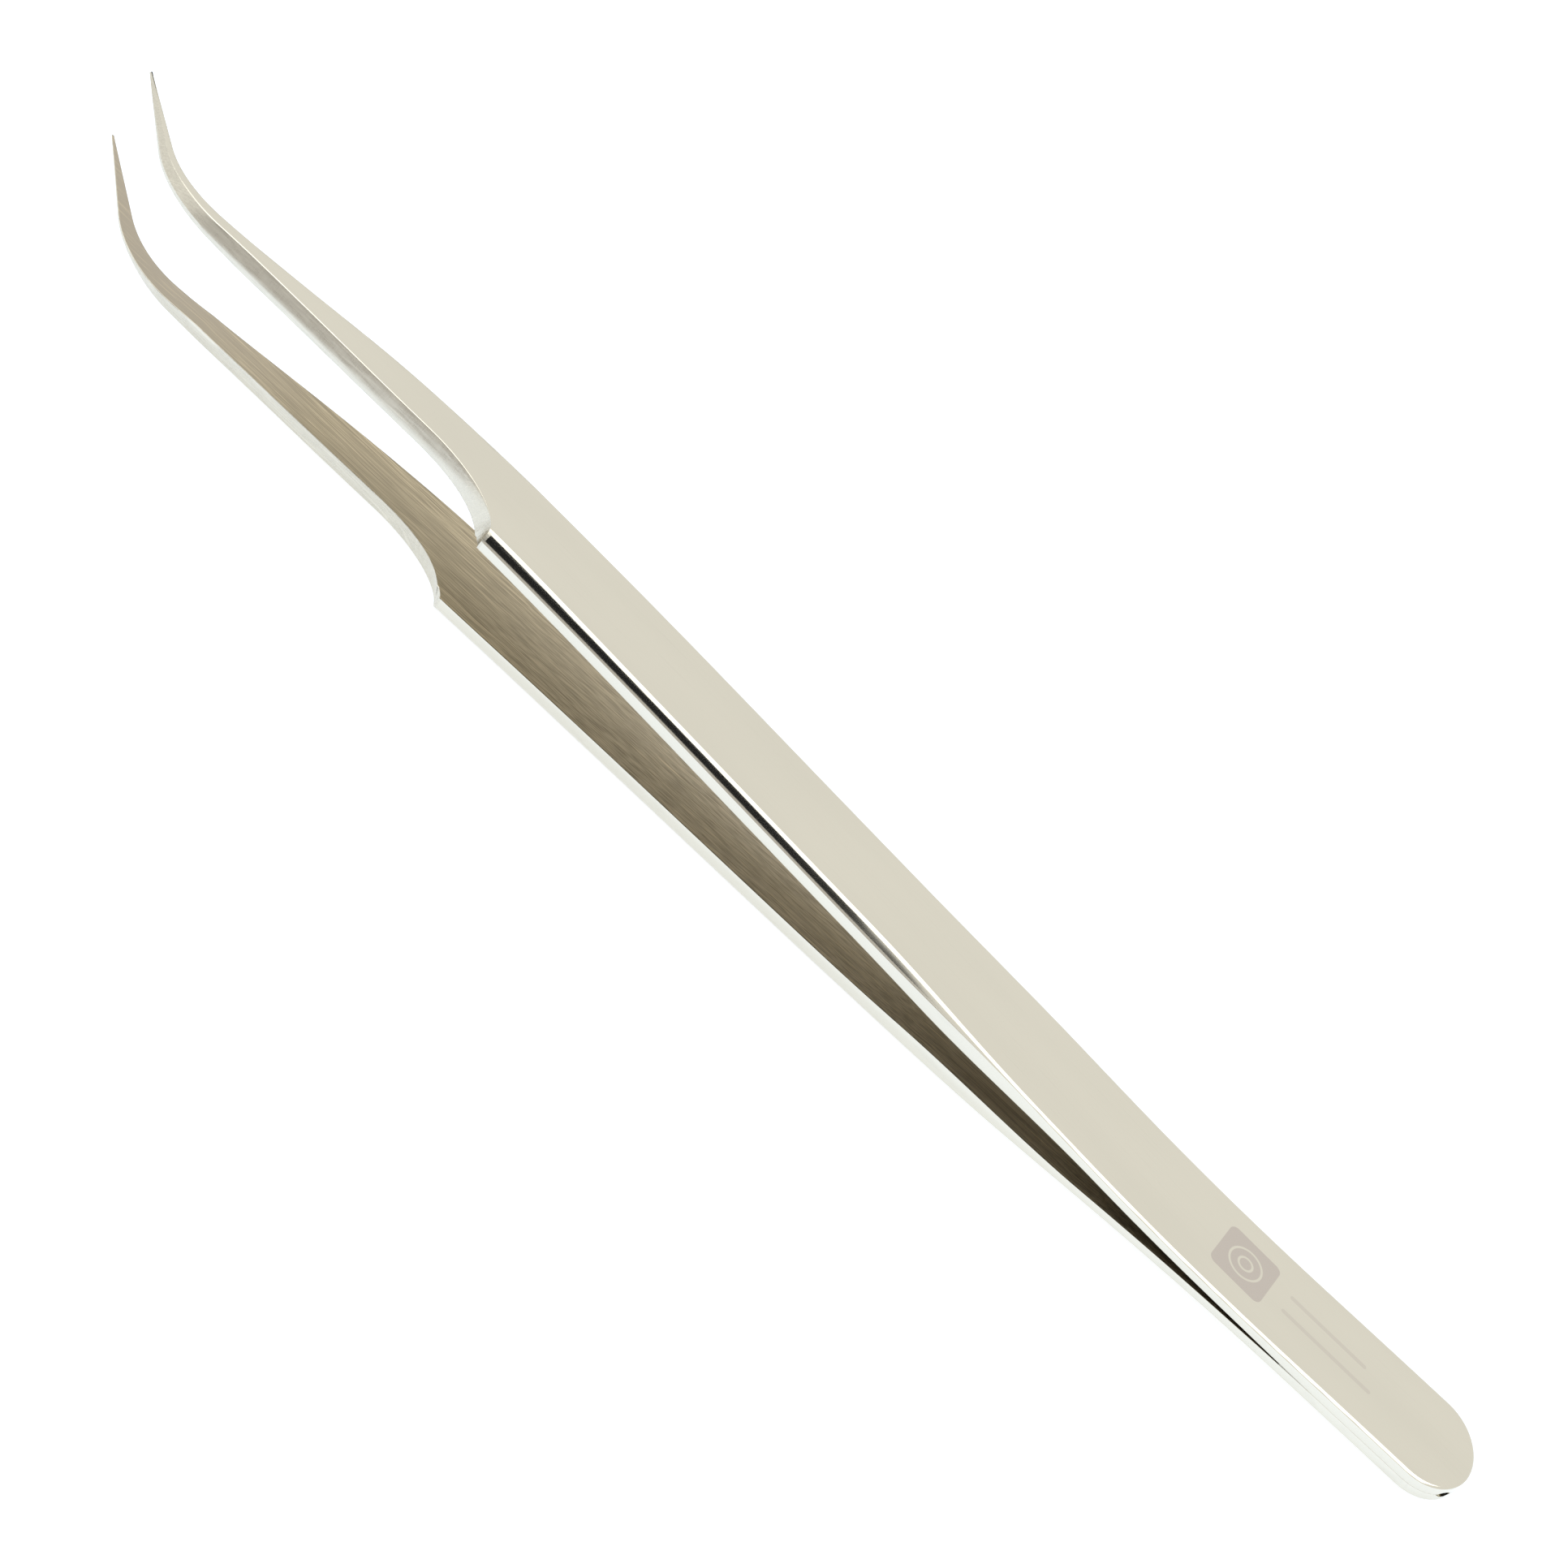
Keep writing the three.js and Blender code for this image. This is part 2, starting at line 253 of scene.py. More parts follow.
class TWEEZERS_PG_finish(bpy.types.PropertyGroup):
    """Colours of the steel and of the stage."""

    steel: swatch("Steel", (0.685, 0.655, 0.555), "Colour of the polished steel")
    brushed: swatch("Brushed Steel", (0.44, 0.378, 0.262), "Colour of the brushed inner faces")
    # Painted sheen: lighter colour for the middle of the inner faces, where less shade falls
    wear_and_sheen: swatch(
        "Sheen Steel", (0.50, 0.44, 0.33), "Colour of the inner faces where they have rubbed bright"
    )
    lapped: swatch("Lapped Steel", (0.41, 0.365, 0.29), "Colour of the inner faces near the points")
    etching: swatch("Etched Mark", (0.55, 0.50, 0.445), "Colour of the etched patch near the butt")
    floor: swatch("Floor", (0.33, 0.42, 0.58), "Colour of the floor")
    floor_glow: swatch(
        "Floor Glow", (0.79, 0.76, 0.70), "Light that the floor, a light table, sends out itself"
    )


def smoothstep(value, start, end):
    share = min(1.0, max(0.0, (value - start) / (end - start)))
    return share * share * (3 - 2 * share)


def mix(first, second, share):
    return first + (second - first) * share


class Blade:
    """Shape of the upper blade, with the closed seam as its mid-plane.

    x runs from the butt to the tips, y towards the belly edge with the shoulder, z outwards.
    """

    def __init__(self, scene):
        sizes = scene.tweezers_blade
        self.sizes = sizes
        self.edges = scene.tweezers_edges
        self.shoulder = sizes.length - sizes.jaw_length
        self.hook = sizes.length - sizes.hook_length
        self.back_leaves = self.shoulder + BACK_PAST_SHOULDER
        self.cut_end = self.shoulder + sizes.cut_length
        self.corner_y = self.handle_y(self.shoulder, 1)
        self.cut_depth = self.corner_y - sizes.neck_belly
        flat_from = sizes.leaf_end + FLAT_PAST_LEAF
        self.bow = [
            (sizes.tang_end, 0.0),
            (sizes.flex + STEEP_PAST_FLEX, sizes.leaf_slope),
            (sizes.leaf_end, sizes.leaf_slope),
            (flat_from, sizes.grip_slope),
            (self.shoulder - FLAT_SHORT_OF_SHOULDER, sizes.grip_slope),
            (self.back_leaves, NECK_SLOPE),
            (self.hook - BEND_SHORT_OF_HOOK, NECK_SLOPE),
            (self.hook + BEND_PAST_HOOK, HOOK_SLOPE),
            (sizes.length, HOOK_SLOPE),
        ]
        self.neck_back = self.neck_back_points()
        turn = sizes.grip_slope
        low_y = self.hook_point(1.0, -1)[1]
        butt_x = frame_low.x + self.outer(0) * math.sin(turn)
        rest = self.outer(flat_from) * math.cos(turn) - flat_from * math.sin(turn)
        self.origin = Vector((butt_x, frame_low.y - low_y, rest))

    def placed(self, point):
        """A point of the blade's own frame, as it lies on the floor."""
        x, y, z = point
        turn = self.sizes.grip_slope
        laid_x = x * math.cos(turn) - z * math.sin(turn)
        laid_z = x * math.sin(turn) + z * math.cos(turn)
        return self.origin + Vector((laid_x, y, laid_z))

    def half_width(self, x):
        sizes = self.sizes
        return mix(sizes.butt_width, sizes.shoulder_width, x / self.shoulder) / 2

    def middle_y(self, x):
        phase = min(0.5, max(-0.5, (x - SWAY_MIDDLE) / SWAY_LENGTH))
        return self.sizes.sway * math.cos(math.pi * phase) ** 2

    def handle_y(self, x, side):
        return self.middle_y(x) + side * self.half_width(x)

    def butt_point(self, turn, side):
        """A point on the rounded end of the butt, a quarter of an ellipse on each side."""
        start = self.sizes.butt_round
        reach = self.half_width(start) * math.sin(turn)
        return start * (1 - math.cos(turn)), self.middle_y(start) + side * reach

    def outer(self, x):
        """Height of the outer face above the mid-plane: the slopes of the bow summed up."""
        height = self.sizes.seam_gap / 2 + self.sizes.tang_thickness
        for (start, first), (end, last) in zip(self.bow, self.bow[1:]):
            reach = min(end, max(start, x)) - start
            here = mix(math.tan(first), math.tan(last), reach / (end - start))
            height += reach * (math.tan(first) + here) / 2
        return height

    def thickness(self, x):
        sizes = self.sizes
        grip = smoothstep(x, THICKENS_FROM, sizes.leaf_end + THICK_PAST_LEAF)
        handle = mix(sizes.tang_thickness, sizes.grip_thickness, grip)
        thinned = smoothstep(x, self.shoulder, self.shoulder + THIN_PAST_SHOULDER)
        front = mix(handle, sizes.neck_thickness, thinned)
        start = self.hook - TAPER_SHORT_OF_HOOK
        taper = min(1.0, max(0.0, (x - start) / (sizes.length - start)))
        return mix(front, sizes.tip_thickness, taper)

    def inner(self, x):
        """Height of the inner face. The seam closes to a hair over the weld."""
        closed = SEAM_CLOSING * (1 - smoothstep(x, *SEAM_OPENS))
        return self.outer(x) - self.thickness(x) - closed

    def hook_point(self, along, side):
        """A point on one edge of the hook: an arc, then a straight run to the tip."""
        sizes = self.sizes
        radius, turn = sizes.hook_radius, sizes.hook_angle
        straight = (sizes.length - self.hook - radius * math.sin(turn)) / math.cos(turn)
        travelled = along * (radius * turn + straight)
        angle = min(travelled, radius * turn) / radius
        onward = max(0.0, travelled - radius * turn)
        x = self.hook + radius * math.sin(angle) + onward * math.cos(angle)
        drop = radius * (1 - math.cos(angle)) + onward * math.sin(angle)
        y = sizes.neck_belly - sizes.neck_width / 2 - drop
        offset = side * mix(sizes.neck_width, sizes.tip_width, along) / 2
        return x + offset * math.sin(angle), y + offset * math.cos(angle)

    def cut_point(self, turn):
        """A point on the hollow cut at the shoulder, a quarter of an ellipse."""
        x = self.shoulder + self.sizes.cut_length * (1 - math.cos(turn))
        return x, self.corner_y - self.cut_depth * math.sin(turn)

    def across_from_cut(self, turn):
        """The point on the back edge whose ring meets the hollow cut at a turn."""
        x = self.shoulder + self.sizes.cut_length * turn / QUARTER_TURN
        return x, self.back_y(x)

    def neck_back_points(self):
        """The back edge from the handle to the hook, a cubic curve, as a fine table."""
        end = Vector((self.hook, self.sizes.neck_belly - self.sizes.neck_width))
        start = Vector((self.back_leaves, self.handle_y(self.back_leaves, -1)))
        near_end = Vector((self.hook - BACK_PULL_END, end.y))
        near_start = start + Vector(BACK_PULL_START)
        table = []
        for step in range(BACK_STEPS + 1):
            t = step / BACK_STEPS
            point = start * (1 - t) ** 3 + near_start * 3 * t * (1 - t) ** 2
            table.append(point + near_end * 3 * t * t * (1 - t) + end * t**3)
        return table

    def back_y(self, x):
        if x <= self.back_leaves:
            return self.handle_y(x, -1)
        for before, after in zip(self.neck_back, self.neck_back[1:]):
            if x <= after.x:
                return mix(before.y, after.y, (x - before.x) / (after.x - before.x))
        return self.neck_back[-1].y

    def rounded_edge(self, x):
        """Insets and drops from the outer face to the side, over the handle's rounded edge."""
        edges = self.edges
        grip = smoothstep(x, *GRIP_EDGE_GROWS)
        grip_radii = (edges.shallow_radius, edges.grip_radius, edges.lower_radius)
        shallow, middle, lower = [mix(*pair, grip) for pair in zip(TANG_RADII, grip_radii)]
        middle += FRONT_EXTRA_RADIUS * smoothstep(x, *FRONT_EDGE_GROWS)
        inset, drop = 0.0, 0.0
        steps = [(inset, drop)]
        for before, after in zip(ROUND_TURNS, ROUND_TURNS[1:]):
            centre = (before + after) / 2
            radius = shallow if centre < MIDDLE_FROM else middle if centre < LOWER_FROM else lower
            inset += radius * (math.sin(after) - math.sin(before))
            drop += radius * (math.cos(before) - math.cos(after))
            steps.append((inset, drop))
        return [(inset - reach, fall) for reach, fall in steps]

    def ground_edge(self, facet, depth):
        """Insets and drops over the neck's flat facet, broken at its upper edge."""
        radius = BREAK_SHARE * facet
        turns = ROUND_TURNS[:BREAK_STEPS]
        steps = [(radius * math.sin(turn), radius * (1 - math.cos(turn))) for turn in turns]
        start = steps[-1]
        rest = len(ROUND_TURNS) - len(steps)
        for i in range(1, rest + 1):
            steps.append((mix(start[0], facet, i / rest), mix(start[1], depth, i / rest)))
        return [(facet - reach, fall) for reach, fall in steps]

    def front_edge(self, x, side, width):
        """The neck's ground edge, no wider than the neck lets it be."""
        edges = self.edges
        steep = 1 - smoothstep(x, *STEEP_FADES)
        facet = edges.neck_facet * (1 - STEEP_NARROWS * steep)
        depth = min(edges.neck_facet_depth, DEPTH_SHARE * self.thickness(x))
        depth *= 1 + STEEP_DEEPENS * steep
        ground = self.ground_edge(min(facet, WIDTH_SHARES[side] * width), depth)
        if side > 0:
            return ground
        share = smoothstep(x, self.back_leaves, self.back_leaves + BACK_FACET_LENGTH)
        rounded = self.rounded_edge(min(x, self.shoulder))
        return [(mix(a[0], b[0], share), mix(a[1], b[1], share)) for a, b in zip(rounded, ground)]

    def flare_at(self, turn):
        """How far the foot of the hollow cut stands out from its upper edge."""
        depth = self.cut_depth * math.sin(turn)
        return FLARE * smoothstep(depth, *FLARE_GROWS) * (1 - smoothstep(depth, *FLARE_FADES))

    def bevel_at(self, x):
        """The inner edge's bevel, next to nothing along the weld."""
        wear_and_sheen = mix(WELD_BEVEL, self.edges.inner_bevel, smoothstep(x, *BEVEL_GROWS))
        return min(wear_and_sheen, BEVEL_SHARE * self.thickness(x))

    def notch_at(self, turn):
        """The same bevel round the end of the butt, where a notch opens the seam."""
        opened = max(0.0, 1 - abs(turn - NOTCH_TURN) / NOTCH_SPREAD)
        return WELD_BEVEL + self.edges.notch * smoothstep(opened, 0.0, NOTCH_FULL)

    def edge_columns(self, point, inward, profile, bevel, flare=0.0, slot=0.0):
        """Points down one side of the blade, from the outer face to the inner face.

        The wall leans out by the flare, and a slot is a hollow under its foot.
        """
        last_drop = profile[-1][1]
        face_inset = max(bevel, slot)
        rise = bevel if slot > bevel else BEVEL_MIDDLE * bevel
        places = [(profile[0][0] + BORDER, self.outer)]
        places += [(inset, lambda x, drop=drop: self.outer(x) - drop) for inset, drop in profile]
        places += [
            (
                -0.5 * flare,
                lambda x: self.outer(x) - mix(last_drop, self.thickness(x) - bevel, 0.5),
            ),
            (-flare, lambda x: self.inner(x) + bevel),
            (
                max(BEVEL_MIDDLE * bevel, SLOT_SHOULDER * slot) - flare,
                lambda x: self.inner(x) + rise,
            ),
            (face_inset - flare, self.inner),
            (face_inset + BORDER / 2 - flare, self.inner),
        ]
        columns = []
        for inset, height in places:
            x, y = point[0] + inward[0] * inset, point[1] + inward[1] * inset
            columns.append(Vector((x, y, height(x))))
        return columns

    def sliced_columns(self, point, corner, bevel, flare):
        """The same where the hollow cut still runs down the handle's rounded edge."""
        top = corner[0]
        border = Vector((top.x, top.y - BORDER, self.outer(top.x)))
        columns = [border, *corner]
        edge_z = corner[-1].z
        foot = (
            (-0.5 * flare, None),
            (-flare, bevel),
            (BEVEL_MIDDLE * bevel - flare, BEVEL_MIDDLE * bevel),
            (bevel - flare, 0.0),
            (bevel + BORDER / 2 - flare, 0.0),
        )
        for inset, rise in foot:
            x = point[0] - inset
            y = min(point[1], self.corner_y - inset - flare)
            floor = self.inner(x)
            height = mix(edge_z, floor + bevel, 0.5) if rise is None else floor + rise
            columns.append(Vector((x, y, height)))
        return columns


def tangents(points):
    """Unit directions along a row of plan points."""
    found = []
    for i, _ in enumerate(points):
        before, after = points[max(0, i - 1)], points[min(len(points) - 1, i + 1)]
        found.append(Vector((after[0] - before[0], after[1] - before[1])).normalized())
    return found


def between(start, end):
    """The columns of a broad face that lie between its two edges."""
    return [start.lerp(end, i / FACE_COLUMNS) for i in range(1, FACE_COLUMNS)]


def closed_ring(belly, back):
    """One ring round the blade: down the belly side, up the back, and across both faces."""
    down = [*belly, *between(belly[-1], back[-1])]
    return [*down, *reversed(back), *between(back[0], belly[0])]


def handle_outline(blade):
    """Turns round the butt, and the belly and back edges of the handle, ring by ring."""
    turns = [QUARTER_TURN * i / BUTT_RINGS for i in range(BUTT_RINGS)]
    start = blade.sizes.butt_round
    steps = round((blade.shoulder - start) / RING_STEP)
    reach = [mix(start, blade.shoulder - SHOULDER_GAP, i / (steps - 1)) for i in range(steps)]
    sides = []
    for side in (1, -1):
        row = [blade.butt_point(turn, side) for turn in turns]
        sides.append(row + [(x, blade.handle_y(x, side)) for x in reach])
    return turns, *sides


def front_outline(blade, cut_turns):
    """The belly and back edges of the cut, the neck and the hook, ring by ring."""
    belly = [blade.cut_point(turn) for turn in cut_turns]
    back = [blade.across_from_cut(turn) for turn in cut_turns]
    steps = round((blade.hook - blade.cut_end) / RING_STEP)
    for i in range(1, steps):
        x = mix(blade.cut_end, blade.hook, i / steps)
        belly.append((x, blade.sizes.neck_belly))
        back.append((x, blade.back_y(x)))
    for i in range(HOOK_RINGS + 1):
        along = min(i / HOOK_RINGS, HOOK_SHARE)
        belly.append(blade.hook_point(along, 1))
        back.append(blade.hook_point(along, -1))
    return belly, back


def blade_rings(blade):
    """All rings of the upper blade, and how many of them are on the handle."""
    butt_turns, belly, back = handle_outline(blade)

    # The cut slices through the rounded edge of the handle, so its first rings run down that edge
    profile = blade.rounded_edge(blade.shoulder)
    slice_turns = [math.asin(inset / blade.cut_depth) for inset, _ in reversed(profile)]
    cut_turns = slice_turns + [
        mix(slice_turns[-1], QUARTER_TURN, i / CUT_RINGS) for i in range(1, CUT_RINGS + 1)
    ]
    front_belly, front_back = front_outline(blade, cut_turns)

    back_along = tangents([belly[1]] + back + front_back)[1:]
    back_along[0] = Vector((0.0, -1.0))
    belly_along = tangents(belly)
    belly_along[0] = Vector((0.0, 1.0))
    front_along = tangents(front_belly)

    rings = []
    for i, (point, far) in enumerate(zip(belly, back)):
        edge = blade.rounded_edge(point[0])
        far_bevel = blade.bevel_at(point[0])
        bevel = blade.notch_at(butt_turns[i]) if i < BUTT_RINGS else far_bevel
        slot = SLOT_DEPTH * (bevel - far_bevel) if i else 0.0
        inward = (belly_along[i].y, -belly_along[i].x)
        near = blade.edge_columns(point, inward, edge, bevel, slot=slot)
        inward = (-back_along[i].y, back_along[i].x)
        away = blade.edge_columns(far, inward, edge, far_bevel if i else bevel)
        rings.append(closed_ring(near, away))

    corner = []
    for turn, (inset, drop) in zip(reversed(slice_turns), profile):
        x = blade.cut_point(turn)[0]
        corner.append(Vector((x, blade.corner_y - inset, blade.outer(x) - drop)))
    for i, (point, far) in enumerate(zip(front_belly, front_back)):
        width = max(point[1] - far[1], blade.sizes.tip_width)
        if point[0] > blade.hook:
            width = math.dist(point, far)
        bevel = blade.bevel_at(point[0])
        flare = blade.flare_at(cut_turns[i] if i < len(cut_turns) else QUARTER_TURN)
        if i < len(slice_turns):
            last = len(profile) - 1 - i
            sliced = [corner[min(k, last)] for k in range(len(profile))]
            near = blade.sliced_columns(point, sliced, bevel, flare)
        else:
            grown = smoothstep(i - len(slice_turns) + 1, 0, CUT_RINGS)
            edge = blade.front_edge(point[0], 1, width)
            edge = [(inset * grown, drop * grown) for inset, drop in edge]
            inward = (front_along[i].y, -front_along[i].x)
            near = blade.edge_columns(point, inward, edge, bevel, flare)
        along = back_along[len(belly) + i]
        edge = blade.front_edge(far[0], -1, width)
        away = blade.edge_columns(far, (-along.y, along.x), edge, bevel)
        rings.append(closed_ring(near, away))

    tip = blade.hook_point(1.0, 0)
    middle = blade.outer(tip[0]) - blade.sizes.tip_thickness / 2
    rings.append([Vector((*tip, middle))] * len(rings[0]))
    return rings, len(belly)


def column_material(column, ring, handle_count):
    """Which finish a face has, by its place round the ring and along the blade."""
    side = len(ROUND_TURNS) + 6  # columns on one side of the ring
    inner_from = side - 2
    inner_to = side + FACE_COLUMNS
    if inner_from <= column < inner_to:
        return BRUSHED
    on_side = 1 <= column < inner_from or inner_to <= column < inner_to + inner_from
    return GROUND if on_side and ring >= handle_count - 1 else POLISHED


def lofted(name, rings, material_of=lambda column, ring: 0):
    """A skin drawn out ring by ring from a circle, each ring then shaped to its own section."""
    count = len(rings[0])
    bpy.ops.object.select_all(action="DESELECT")
    bpy.ops.mesh.primitive_circle_add(vertices=count, radius=1, fill_type="NOTHING")
    piece = bpy.context.object
    piece.name = name
    piece.data.name = name
    bpy.ops.object.mode_set(mode="EDIT")
    bpy.ops.mesh.select_all(action="SELECT")
    for _ in rings[1:]:
        bpy.ops.mesh.extrude_region_move(TRANSFORM_OT_translate={"value": (0, 0, 1)})
    skin = bmesh.from_edit_mesh(piece.data)
    place = {}
    for vert in skin.verts:
        angle = math.atan2(vert.co.x, vert.co.y) / math.tau
        place[vert] = (round(vert.co.z), round(angle * count) % count)
    for face in skin.faces:
        rows, columns = zip(*(place[vert] for vert in face.verts))
        wraps = {*columns} == {0, count - 1}
        face.material_index = material_of(max(columns) if wraps else min(columns), min(rows))
    for vert, (row, column) in place.items():
        vert.co = rings[row][column]
    bmesh.update_edit_mesh(piece.data)
    bpy.ops.mesh.select_all(action="SELECT")
    bpy.ops.mesh.remove_doubles(threshold=1e-7)
    bpy.ops.mesh.select_non_manifold(extend=False)
    bpy.ops.mesh.edge_face_add()
    bpy.ops.mesh.select_all(action="SELECT")
    bpy.ops.mesh.normals_make_consistent(inside=False)
    bpy.ops.object.mode_set(mode="OBJECT")
    bpy.ops.object.shade_smooth_by_angle(angle=SHARP_ANGLE)
    if len(piece.data.polygons) == 0:
        raise RuntimeError(name + " has no faces")
    return piece


# Materials ------------------------------------------------------------------------------------
# The scales of the noises are in cycles per metre: along the blade, across it, and through it.


def node_group(name, output, **inputs):
    """A shader group that puts out one value, its Vector and its output node."""
    group = bpy.data.node_groups.new(name, "ShaderNodeTree")
    group.interface.new_socket("Vector", in_out="INPUT", socket_type="NodeSocketVector")
    for label, value in inputs.items():
        socket = group.interface.new_socket(label, in_out="INPUT", socket_type="NodeSocketFloat")
        socket.default_value = value
    group.interface.new_socket(output, in_out="OUTPUT", socket_type="NodeSocketFloat")
    return group, group.nodes.new("NodeGroupInput"), group.nodes.new("NodeGroupOutput")


def math_node(tree, operation, first, second=0.0, clamp=False):
    node = tree.nodes.new("ShaderNodeMath")
    node.operation = operation
    node.use_clamp = clamp
    for socket, value in zip(node.inputs, (first, second)):
        if isinstance(value, (int, float)):
            socket.default_value = value
        else:
            tree.links.new(value, socket)
    return node.outputs[0]


def ranged(tree, value, low, high, to_low=0.0, to_high=1.0):
    node = tree.nodes.new("ShaderNodeMapRange")
    node.clamp = True
    tree.links.new(value, node.inputs["Value"])
    for label, number in (
        ("From Min", low), ("From Max", high), ("To Min", to_low), ("To Max", to_high)
    ):
        node.inputs[label].default_value = number
    return node.outputs["Result"]


def spread(tree, noise, to_low=0.0, to_high=1.0):
    """A range that takes in nearly all of a noise."""
    return ranged(tree, noise, 0.3, 0.7, to_low, to_high)


def stretched_noise(tree, vector, scale, rotation=(0, 0, 0), detail=2.0):
    """Noise drawn out along one way, which reads as lines of polishing or grinding."""
    mapping = tree.nodes.new("ShaderNodeMapping")
    mapping.inputs["Scale"].default_value = scale
    mapping.inputs["Rotation"].default_value = rotation
    tree.links.new(vector, mapping.inputs["Vector"])
    noise = tree.nodes.new("ShaderNodeTexNoise")
    noise.inputs["Scale"].default_value = 1.0
    noise.inputs["Detail"].default_value = detail
    tree.links.new(mapping.outputs["Vector"], noise.inputs["Vector"])
    return noise.outputs["Fac"]


def two_noises(name, output, share, first, second):
    """A value about 0.5 from two noises, the first of which has the given share."""
    group, given, made = node_group(name, output)
    parts = []
    for settings, weight in ((first, share), (second, 1 - share)):
        noise = stretched_noise(group, given.outputs["Vector"], *settings)
        parts.append(math_node(group, "MULTIPLY", noise, weight))
    group.links.new(math_node(group, "ADD", *parts), made.inputs[output])
    return group


def grain_group(name):
    """Fine lines of polishing along the blade."""
    return two_noises(name, "Grain", 0.7, [(40, 17000, 17000)], [(24, 11500, 11500)])


def grinding_group(name):
    """Marks of a grinding wheel: short ones across an edge, and more of them along it."""
    across = [(9000, 500, 900), (0, 0, 0.3), 3.0]
    return two_noises(name, "Marks", 0.25, across, [(700, 7000, 7000)])


def scratch_group(name):
    """Sparse hairline scratches at three slants, as a mask."""
    group, given, made = node_group(name, "Scratches", Amount=0.5)
    found = []
    for slant, start in ((2, 0.66), (-5, 0.68), (24, 0.72)):
        rotation = (0, 0, math.radians(slant))
        lines = stretched_noise(
            group, given.outputs["Vector"], (150, 15000, 900), rotation, detail=1.0
        )
        found.append(ranged(group, lines, start, start + 0.05))
    most = math_node(group, "MAXIMUM", math_node(group, "MAXIMUM", *found[:2]), found[2])
    shown = math_node(group, "MULTIPLY", most, given.outputs["Amount"], clamp=True)
    group.links.new(shown, made.inputs["Scratches"])
    return group


def drift_group(name):
    """Slow drift of tone over the length of the steel."""
    group, given, made = node_group(name, "Tone")
    drift = stretched_noise(group, given.outputs["Vector"], (55, 240, 240), detail=1.5)
    group.links.new(spread(group, drift), made.inputs["Tone"])
    return group


def etching_group(name):
    """A plain etched patch near the butt, as a mask: a soft square with two rings, and two bars."""
    group, given, made = node_group(name, "Patch")
    split = group.nodes.new("ShaderNodeSeparateXYZ")
    group.links.new(given.outputs["Vector"], split.inputs[0])

    def away(value, middle):
        return math_node(group, "ABSOLUTE", math_node(group, "SUBTRACT", value, middle))

    def distance(sides):
        squares = [math_node(group, "MULTIPLY", side, side) for side in sides]
        return math_node(group, "SQRT", math_node(group, "ADD", *squares))

    def rounded_box(middle, halves, radius):
        """Mask of a box with rounded corners, from its distance field."""
        past = []
        for value, at, half in zip(split.outputs, middle, halves):
            over = math_node(group, "SUBTRACT", away(value, at), half - radius)
            past.append(math_node(group, "MAXIMUM", over, 0))
        return ranged(group, distance(past), radius - 0.00003, radius + 0.00003, 1.0, 0.0)

    def ring(radius):
        """Mask of a thin ring in the middle of the square."""
        reach = distance([away(value, at) for value, at in zip(split.outputs, PATCH_MIDDLE)])
        return ranged(group, away(reach, radius), 0.00007, 0.00012, 1.0, 0.0)

    square = rounded_box(PATCH_MIDDLE, (PATCH_HALF, PATCH_HALF), PATCH_CORNER)
    left_clear = math_node(group, "MAXIMUM", *[ring(radius) for radius in RING_RADII])
    patch = math_node(group, "SUBTRACT", square, left_clear, clamp=True)
    bars = [rounded_box(middle, (half, BAR_HALF), BAR_HALF) for middle, half in BARS]
    faint = math_node(group, "MULTIPLY", math_node(group, "MAXIMUM", *bars), BAR_TONE)
    both = math_node(group, "MAXIMUM", patch, faint)
    on_top = math_node(group, "GREATER_THAN", split.outputs["Z"], OUTER_FACE_FROM)
    group.links.new(math_node(group, "MULTIPLY", both, on_top), made.inputs["Patch"])
    return group


def effect_groups():
    """The shared effects, each made once."""
    makers = {
        "polishing_grain": grain_group,
        "grinding_marks": grinding_group,
        "hairline_scratches": scratch_group,
        "tone_drift": drift_group,
        "etched_patch": etching_group,
    }
    return {name: bpy.data.node_groups.get(name) or make(name) for name, make in makers.items()}


def tinted(tree, factor, first, second):
    """A colour between two, by a factor."""
    node = tree.nodes.new("ShaderNodeMix")
    node.data_type = "RGBA"
    tree.links.new(factor, node.inputs["Factor"])
    for label, value in (("A", first), ("B", second)):
        socket = [s for s in node.inputs if s.name == label and s.type == "RGBA"][0]
        if isinstance(value, bpy.types.NodeSocket):
            tree.links.new(value, socket)
        else:
            socket.default_value = (*value, 1.0)
    return [s for s in node.outputs if s.type == "RGBA"][0]


def scaled(colour, share):
    return tuple(min(1.0, channel * share) for channel in colour)


